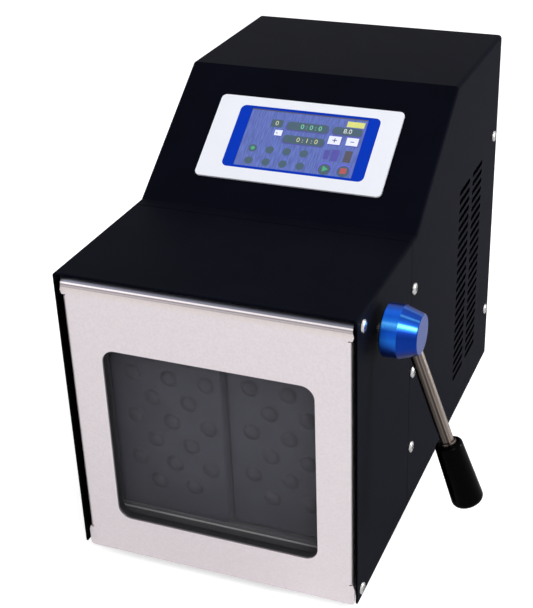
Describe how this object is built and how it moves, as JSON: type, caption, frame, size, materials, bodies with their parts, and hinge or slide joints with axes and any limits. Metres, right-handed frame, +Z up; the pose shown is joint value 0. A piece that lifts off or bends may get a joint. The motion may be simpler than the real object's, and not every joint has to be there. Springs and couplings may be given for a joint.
{
  "type": "paddle blender",
  "caption": "Bench-top paddle blender: sloped black cabinet, glazed steel front door, touch display and a locking lever on the right side.",
  "frame": {"origin": "on the bench, in the middle of everything that stands over it; the cabinet's middle plane is 36.3 mm to the left, because the lever stands out on the right", "axes": "+X to the right of someone in front of the door, +Y to the back, +Z up; the door faces -Y"},
  "size_m": [0.2942, 0.3802, 0.3195],
  "materials": {
    "covers": "fine textured black powder coat",
    "chassis": "satin black painted steel sheet",
    "stainless": "satin stainless sheet",
    "door_black": "matt black moulding",
    "tinted_pane": "grey tinted clear sheet",
    "seal_rubber": "dark soft rubber",
    "paddle_grey": "dark grey smooth moulding",
    "anodised_blue": "turned and blue anodised",
    "bright_steel": "ground steel",
    "screw_steel": "bright plated",
    "grip_black": "glossy black moulding",
    "bezel_white": "smooth white plate",
    "surround_blue": "smooth blue film",
    "screen": "lit display under glass",
    "module_metal": "plain metal case",
    "board_green": "circuit board",
    "bronze": "plain bearing bronze",
    "machined": "milled aluminium",
    "motor_case": "dark painted steel",
    "belt_rubber": "ribbed black rubber",
    "black_plastic": "matt black plastic",
    "foot_rubber": "black rubber"
  },
  "bodies": {
    "cabinet": {"base_plate": "chassis", "side_plate_left": "chassis", "side_plate_right": "chassis", "bulkhead": "chassis", "rear_panel": "chassis", "front_cover": "covers", "rear_cover": "covers", "chamber_liner": "stainless", "rod_seals": "seal_rubber", "rod_guides": "bronze", "pivot_pins": "screw_steel", "shaft_bushes": "bronze", "crank_bearings": "bright_steel", "bearing_pillars": "machined", "drive_motor": "motor_case", "motor_bracket": "chassis", "drive_belt": "belt_rubber", "display_bezel": "bezel_white", "screen_surround": "surround_blue", "touch_screen": "screen", "display_module": "module_metal", "control_board": "board_green", "board_standoffs": "screw_steel", "fan_frame": "black_plastic", "fan_guard": "screw_steel", "power_inlet": "black_plastic", "fuse_holder": "black_plastic", "switch_housing": "black_plastic", "power_supply": "module_metal", "feet": "foot_rubber", "foot_screws": "screw_steel", "cover_screws": "screw_steel", "guard_screws": "screw_steel"},
    "door": {"door_skin": "stainless", "door_frame": "door_black", "window_pane": "tinted_pane", "door_seal": "seal_rubber", "strikers": "screw_steel"},
    "lever": {"lever_shaft": "bright_steel", "lever_hub": "anodised_blue", "lever_arm": "bright_steel", "grip_ferrule": "bright_steel", "lever_grip": "grip_black", "latch_hooks": "screw_steel"},
    "crank": {"crankshaft": "bright_steel", "eccentric_discs": "machined", "yoke_rollers": "machined", "crank_pulley": "machined"},
    "paddle_left": {"paddle_left": "paddle_grey", "push_rod_left": "bright_steel", "yoke_left": "machined"},
    "paddle_right": {"paddle_right": "paddle_grey", "push_rod_right": "bright_steel", "yoke_right": "machined"},
    "motor_pulley": {"motor_pulley": "machined"},
    "fan_rotor": {"fan_rotor": "black_plastic"},
    "rocker": {"switch_rocker": "black_plastic"}
  },
  "joints": [
    {"name": "door_swing", "type": "hinge", "parent": "cabinet", "child": "door", "pos_m": [-0.03626, -0.1811, 0.0234], "axis": [1, 0, 0], "range_deg": [0, 90]},
    {"name": "lever_turn", "type": "hinge", "parent": "cabinet", "child": "lever", "pos_m": [-0.03626, -0.1462, 0.2165], "axis": [-1, 0, 0], "range_deg": [-45, 45]},
    {"name": "crank_turn", "type": "hinge", "parent": "cabinet", "child": "crank", "pos_m": [-0.03626, -0.0081, 0.117], "axis": [1, 0, 0], "range_deg": [-122.33, 57.67]},
    {"name": "paddle_left_stroke", "type": "slide", "parent": "cabinet", "child": "paddle_left", "axis": [0, -1, 0], "range_m": [-0.01231, 0.00581]},
    {"name": "paddle_right_stroke", "type": "slide", "parent": "cabinet", "child": "paddle_right", "axis": [0, -1, 0], "range_m": [-0.00581, 0.01231]},
    {"name": "motor_pulley_spin", "type": "hinge", "parent": "cabinet", "child": "motor_pulley", "pos_m": [-0.03626, 0.1019, 0.07], "axis": [1, 0, 0], "range_deg": [-310, 146.2]},
    {"name": "fan_spin", "type": "hinge", "parent": "cabinet", "child": "fan_rotor", "pos_m": [-0.03626, 0.183, 0.221], "axis": [0, 1, 0], "continuous": true},
    {"name": "rocker_tilt", "type": "hinge", "parent": "cabinet", "child": "rocker", "pos_m": [-0.00226, 0.1805, 0.068], "axis": [1, 0, 0], "range_deg": [0, 16]}
  ],
  "couplings": [
    {"joint": "paddle_left_stroke", "follows": "crank_turn", "m_per_rad": 0.00576},
    {"joint": "paddle_right_stroke", "follows": "crank_turn", "m_per_rad": -0.00576},
    {"joint": "motor_pulley_spin", "follows": "crank_turn", "ratio": 2.5333}
  ]
}
